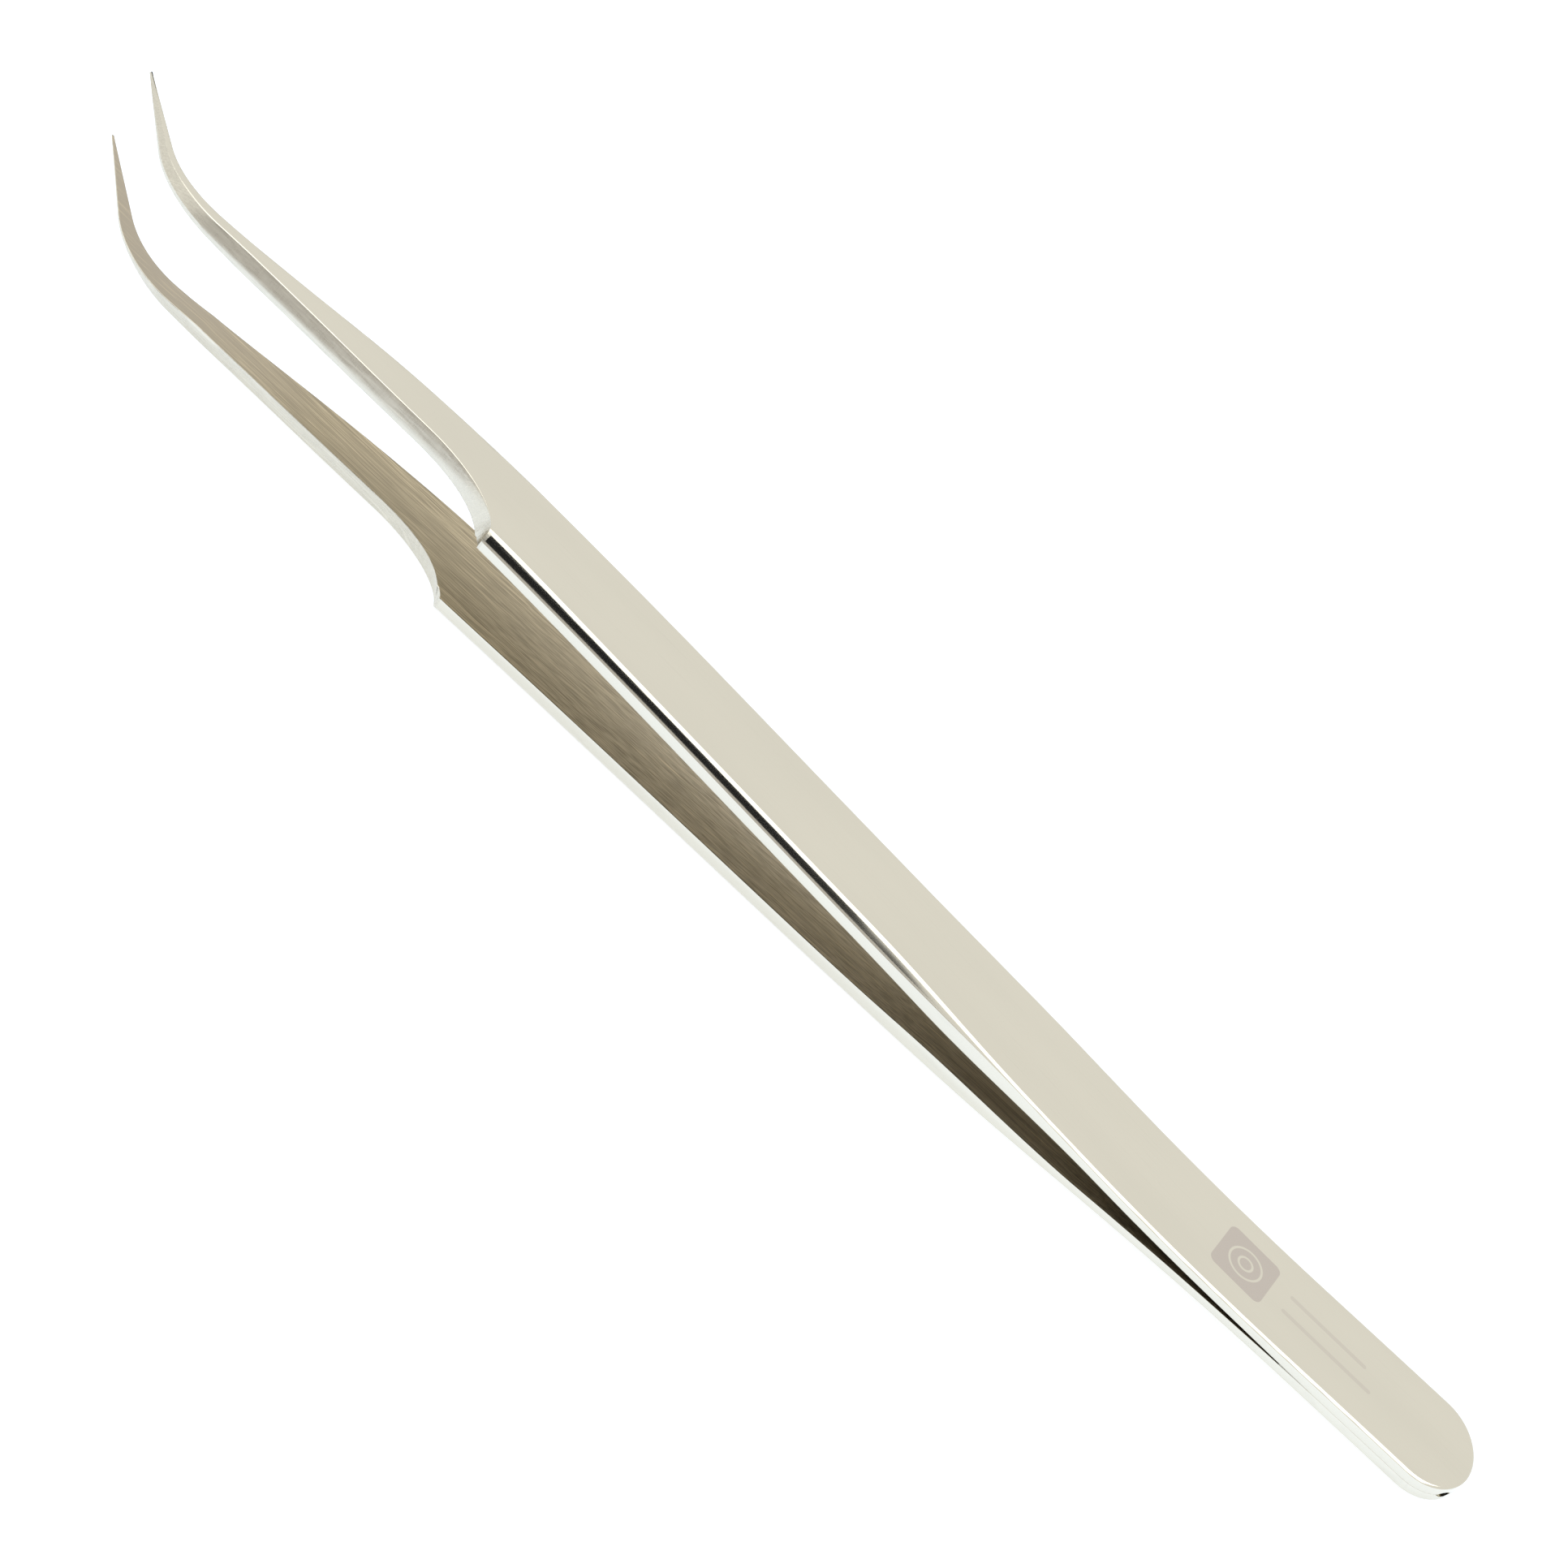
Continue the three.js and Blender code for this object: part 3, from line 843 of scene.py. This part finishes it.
class Steel:
    """A steel material that is being made: its shader, and Object coordinates along the blade."""

    def __init__(self, name, blade):
        self.material = bpy.data.materials.new(name)
        self.material.use_nodes = True
        self.tree = self.material.node_tree
        self.tree.nodes.clear()
        self.groups = effect_groups()
        output = self.tree.nodes.new("ShaderNodeOutputMaterial")
        self.shader = self.tree.nodes.new("ShaderNodeBsdfPrincipled")
        self.shader.inputs["Metallic"].default_value = 1.0
        self.tree.links.new(self.shader.outputs[0], output.inputs["Surface"])
        coordinates = self.tree.nodes.new("ShaderNodeTexCoord")
        shift = self.tree.nodes.new("ShaderNodeMapping")
        shift.inputs["Location"].default_value = -blade.origin
        turn = self.tree.nodes.new("ShaderNodeMapping")
        turn.inputs["Rotation"].default_value = (0, blade.sizes.grip_slope, 0)
        self.tree.links.new(coordinates.outputs["Object"], shift.inputs["Vector"])
        self.tree.links.new(shift.outputs["Vector"], turn.inputs["Vector"])
        self.vector = turn.outputs["Vector"]

    def effect(self, name, **values):
        """The value of one of the shared effects on this steel."""
        node = self.tree.nodes.new("ShaderNodeGroup")
        node.node_tree = self.groups[name]
        self.tree.links.new(self.vector, node.inputs["Vector"])
        for label, value in values.items():
            node.inputs[label].default_value = value
        return node.outputs[0]

    def finished(self, colour, roughness, height, distance):
        """The material, with its colour, its roughness and a bump."""
        bump = self.tree.nodes.new("ShaderNodeBump")
        bump.inputs["Distance"].default_value = distance
        bump.inputs["Strength"].default_value = 1.0
        self.tree.links.new(height, bump.inputs["Height"])
        for value, label in (
            (colour, "Base Color"), (roughness, "Roughness"), (bump.outputs["Normal"], "Normal")
        ):
            self.tree.links.new(value, self.shader.inputs[label])
        return self.material


def polished_steel(name, blade, finish, etched):
    """Satin-polished outside, with faint lines along the blade."""
    steel = Steel(name, blade)
    tree = steel.tree
    grain = steel.effect("polishing_grain")
    tone = steel.effect("tone_drift")
    hairs = steel.effect("hairline_scratches", Amount=0.3)
    colour = tinted(tree, tone, scaled(finish.steel, 0.985), scaled(finish.steel, 1.015))
    colour = tinted(tree, hairs, colour, scaled(finish.steel, 0.93))
    rougher = math_node(tree, "MULTIPLY", hairs, 0.1)
    rough = math_node(tree, "ADD", spread(tree, grain, 0.07, 0.10), rougher)
    if etched:
        patch = steel.effect("etched_patch")
        colour = tinted(tree, patch, colour, finish.etching)
        rough = math_node(tree, "ADD", rough, math_node(tree, "MULTIPLY", patch, 0.1))
    return steel.finished(colour, rough, grain, 0.0000002)


def brushed_steel(name, blade, finish):
    """Brushed inner face: lines along the blade, hairline scratches, painted sheen, plainer points.
    """
    steel = Steel(name, blade)
    tree = steel.tree
    grain = steel.effect("polishing_grain")
    drift = math_node(tree, "MULTIPLY", steel.effect("tone_drift"), 0.4)
    hairs = steel.effect("hairline_scratches", Amount=0.8)
    split = tree.nodes.new("ShaderNodeSeparateXYZ")
    tree.links.new(steel.vector, split.inputs[0])
    along = split.outputs["X"]
    # Painted sheen: lighter over the middle of the blade, where less shade falls in the gap
    grows = ranged(tree, along, *SHEEN_GROWS)
    wear_and_sheen = math_node(tree, "MULTIPLY", grows, ranged(tree, along, *SHEEN_FADES, 1, 0))
    lines = ranged(tree, grain, 0.43, 0.57)
    plain, shone = [
        tinted(tree, lines, scaled(colour, 0.6), scaled(colour, 1.18))
        for colour in (finish.brushed, finish.wear_and_sheen)
    ]
    colour = tinted(tree, wear_and_sheen, plain, shone)
    colour = tinted(tree, drift, colour, scaled(finish.brushed, 0.9))
    colour = tinted(tree, ranged(tree, along, *LAPPED_GROWS), colour, finish.lapped)
    colour = tinted(tree, hairs, colour, scaled(finish.brushed, 1.55))
    return steel.finished(colour, spread(tree, grain, 0.36, 0.5), grain, 0.000006)


def ground_steel(name, blade, finish):
    """Ground edges of the neck and the shoulder cut."""
    steel = Steel(name, blade)
    tree = steel.tree
    marks = steel.effect("grinding_marks")
    hairs = steel.effect("hairline_scratches", Amount=0.6)
    colour = tinted(tree, spread(tree, marks), scaled(finish.steel, 0.86), finish.steel)
    colour = tinted(tree, hairs, colour, scaled(finish.steel, 1.1))
    return steel.finished(colour, spread(tree, marks, 0.24, 0.36), marks, 0.000002)


def weld_metal(name, blade, finish):
    """Fused metal of the weld, polished flush where it shows."""
    steel = Steel(name, blade)
    tree = steel.tree
    tone = steel.effect("tone_drift")
    grain = steel.effect("polishing_grain")
    colour = tinted(tree, tone, scaled(finish.steel, 0.97), scaled(finish.steel, 1.01))
    return steel.finished(colour, spread(tree, grain, 0.12, 0.2), grain, 0.000001)


# Operators ------------------------------------------------------------------------------------


def make_blade(scene, side_name, mirrored):
    """One blade in one piece, with the bow of its leaf in its shape."""
    blade = Blade(scene)
    finish = scene.tweezers_finish
    rings, handle_count = blade_rings(blade)
    flip = -1 if mirrored else 1
    placed = [[blade.placed((p.x, p.y, flip * p.z)) for p in ring] for ring in rings]
    piece = lofted(
        side_name + "_blade", placed,
        lambda column, ring: column_material(column, ring, handle_count),
    )
    for material in (
        polished_steel(side_name + "_polished_steel", blade, finish, etched=not mirrored),
        brushed_steel(side_name + "_brushed_steel", blade, finish),
        ground_steel(side_name + "_ground_steel", blade, finish),
    ):
        piece.data.materials.append(material)
    sizes = blade.sizes
    height = flip * blade.outer(sizes.flex)
    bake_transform(piece)
    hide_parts(*[side_name + "_" + node for node in BLADE_NODES])


class TWEEZERS_OT_blades(bpy.types.Operator):
    """Model the upper blade and its mirror image, the lower blade"""

    bl_idname = "tweezers.blades"
    bl_label = "Blades"

    def execute(self, context):
        make_blade(context.scene, "upper", False)
        make_blade(context.scene, "lower", True)
        return {"FINISHED"}


def weld_bead(blade, side):
    """A flat bead along one edge, from the end of the butt to the end of the tang."""
    sizes = blade.sizes
    path = []
    for i in range(BEAD_STEPS + 1):
        path.append(blade.butt_point(mix(BEAD_TURN, QUARTER_TURN, i / BEAD_STEPS), side))
    steps = BEAD_STEPS - 1
    for i in range(1, steps + 1):
        x = mix(sizes.butt_round, sizes.tang_end + BEAD_PAST_TANG, i / steps)
        path.append((x, blade.handle_y(x, side)))
    rings = []
    for point, along in zip(path, tangents(path)):
        inward = Vector((side * along.y, -side * along.x))
        ring = []
        for inset, height in BEAD_SECTION:
            ring.append(blade.placed((*(Vector(point) + inward * inset), WELD_HALF * height)))
        rings.append(ring)
    return lofted("weld_bead", rings)


def weld_nugget(blade, share):
    """A flat round spot of fused metal in the middle of the tang."""
    sizes = blade.sizes
    x = mix(sizes.butt_round, sizes.tang_end, share)
    bpy.ops.object.select_all(action="DESELECT")
    bpy.ops.mesh.primitive_cylinder_add(
        vertices=NUGGET_SIDES, radius=NUGGET_RADIUS, depth=2 * WELD_HALF,
        location=blade.placed((x, blade.middle_y(x), 0)), rotation=(0, -sizes.grip_slope, 0),
    )
    bpy.ops.object.mode_set(mode="EDIT")
    bpy.ops.mesh.select_all(action="SELECT")
    bpy.ops.mesh.bevel(offset=NUGGET_BEVEL, segments=2, affect="EDGES")
    bpy.ops.object.mode_set(mode="OBJECT")
    return bpy.context.object


class TWEEZERS_OT_weld(bpy.types.Operator):
    """Model the weld between the two tangs: a bead along each edge and two round nuggets"""

    bl_idname = "tweezers.weld"
    bl_label = "Weld"

    def execute(self, context):
        blade = Blade(context.scene)
        parts = [weld_bead(blade, side) for side in (1, -1)]
        parts += [weld_nugget(blade, share) for share in NUGGET_PLACES]
        bpy.ops.object.select_all(action="DESELECT")
        for part in parts:
            part.select_set(True)
        context.view_layer.objects.active = parts[0]
        bpy.ops.object.join()
        weld = parts[0]
        weld.name = "weld"
        weld.data.name = "weld"
        bpy.ops.object.transform_apply(location=True, rotation=True, scale=True)
        bpy.ops.object.shade_smooth_by_angle(angle=SHARP_ANGLE)
        finish = context.scene.tweezers_finish
        weld.data.materials.append(weld_metal("weld_metal", blade, finish))
        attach(weld, "root")
        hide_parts("weld_bead_back", "weld_bead_belly", "weld_nugget_1", "weld_nugget_2")
        return {"FINISHED"}


def plain_material(name, colour, glow_colour, glow):
    material = bpy.data.materials.new(name)
    material.use_nodes = True
    shader = material.node_tree.nodes["Principled BSDF"]
    shader.inputs["Base Color"].default_value = (*colour, 1.0)
    shader.inputs["Roughness"].default_value = 0.7
    shader.inputs["Specular IOR Level"].default_value = 0.2
    shader.inputs["Emission Color"].default_value = (*glow_colour, 1.0)
    shader.inputs["Emission Strength"].default_value = glow
    return material


def facing(place, target, axis):
    """Rotation that turns an axis from a place towards a target."""
    return (Vector(target) - Vector(place)).to_track_quat(axis, "Y").to_euler()


def plane(name, size, material):
    bpy.ops.object.select_all(action="DESELECT")
    bpy.ops.mesh.primitive_plane_add(size=size, location=(0, 0, 0))
    made = bpy.context.object
    made.name = name
    made.data.materials.append(material)
    return made


def studio_board(name, start, end, width, glow):
    """A flat board of the studio, seen only in reflections, over a range of angles in front."""
    lean = math.radians((start + end) / 2)
    x = width / 2 + BOARD_START
    board = plane(name, 1, plain_material(name, BOARD_BASE, BOARD_GLOW, glow))
    board.location = (x, BOARD_DISTANCE * math.sin(lean), BOARD_DISTANCE * math.cos(lean))
    tall = 2 * BOARD_DISTANCE * math.tan(math.radians((end - start) / 2))
    board.scale = (width, tall, 1)
    board.rotation_euler = facing(board.location, (x, 0, 0.005), "Z")
    board.visible_camera = False
    board.visible_shadow = False
    board.visible_diffuse = False


class TWEEZERS_OT_stage(bpy.types.Operator):
    """Set the floor, the soft lights and the camera"""

    bl_idname = "tweezers.stage"
    bl_label = "Stage"

    def execute(self, context):
        scene = context.scene
        finish = scene.tweezers_finish
        blade = Blade(scene)
        floor_material = plain_material("pale_floor", finish.floor, finish.floor_glow, 1.0)
        floor = plane("floor", FLOOR_SIZE, floor_material)

        world = bpy.data.worlds.new("studio")
        world.use_nodes = True
        background = world.node_tree.nodes["Background"]
        background.inputs["Color"].default_value = STUDIO_COLOUR
        background.inputs["Strength"].default_value = 1.0
        scene.world = world
        scene.view_settings.view_transform = "Standard"

        light = bpy.data.lights.new("overhead", "AREA")
        light.shape = "RECTANGLE"
        light.size, light.size_y = SOFTBOX_WIDTH, SOFTBOX_DEPTH
        light.energy = SOFTBOX_RADIANCE * SOFTBOX_WIDTH * SOFTBOX_DEPTH * math.pi
        softbox = bpy.data.objects.new("overhead", light)
        scene.collection.objects.link(softbox)
        softbox.location = (0, 0, SOFTBOX_HEIGHT)
        softbox.rotation_euler = facing(softbox.location, (0, 0, 0), "-Z")
        softbox.visible_camera = False
        for settings in BOARDS:
            studio_board(*settings)

        data = bpy.data.cameras.new("camera")
        camera = bpy.data.objects.new("camera", data)
        scene.collection.objects.link(camera)
        lay = Matrix.Rotation(-blade.sizes.grip_slope, 3, "Y")
        right, up = lay @ Vector(CAMERA_RIGHT), lay @ Vector(CAMERA_UP)
        rotation = Matrix((right, up, right.cross(up))).transposed().to_4x4()
        camera.matrix_world = Matrix.Translation(blade.placed(CAMERA_PLACE)) @ rotation
        data.sensor_width = 36
        data.lens = CAMERA_LENS
        data.clip_start = 0.01
        scene.camera = camera
        return {"FINISHED"}


class TWEEZERS_PT_panel(bpy.types.Panel):
    """The sizes, the colours and the operators"""

    bl_idname = "TWEEZERS_PT_panel"
    bl_label = "Curved Tweezers"
    bl_space_type = "VIEW_3D"
    bl_region_type = "UI"
    bl_category = "Tweezers"

    def draw(self, context):
        scene = context.scene
        for group in (scene.tweezers_blade, scene.tweezers_edges, scene.tweezers_finish):
            column = self.layout.column(align=True)
            for name in group.__annotations__:
                column.prop(group, name)
        for operator in OPERATORS:
            self.layout.operator(operator.bl_idname)


GROUPS = (TWEEZERS_PG_blade, TWEEZERS_PG_edges, TWEEZERS_PG_finish)
OPERATORS = (TWEEZERS_OT_blades, TWEEZERS_OT_weld, TWEEZERS_OT_stage)
CLASSES = (*GROUPS, *OPERATORS, TWEEZERS_PT_panel)


def register():
    for cls in CLASSES:
        bpy.utils.register_class(cls)
    bpy.types.Scene.tweezers_blade = PointerProperty(type=TWEEZERS_PG_blade)
    bpy.types.Scene.tweezers_edges = PointerProperty(type=TWEEZERS_PG_edges)
    bpy.types.Scene.tweezers_finish = PointerProperty(type=TWEEZERS_PG_finish)


def unregister():
    del bpy.types.Scene.tweezers_finish
    del bpy.types.Scene.tweezers_edges
    del bpy.types.Scene.tweezers_blade
    for cls in reversed(CLASSES):
        bpy.utils.unregister_class(cls)


def main():
    register()
    bpy.ops.tweezers.blades()
    bpy.ops.tweezers.weld()
    bpy.ops.tweezers.stage()


if __name__ == "__main__":
    main()
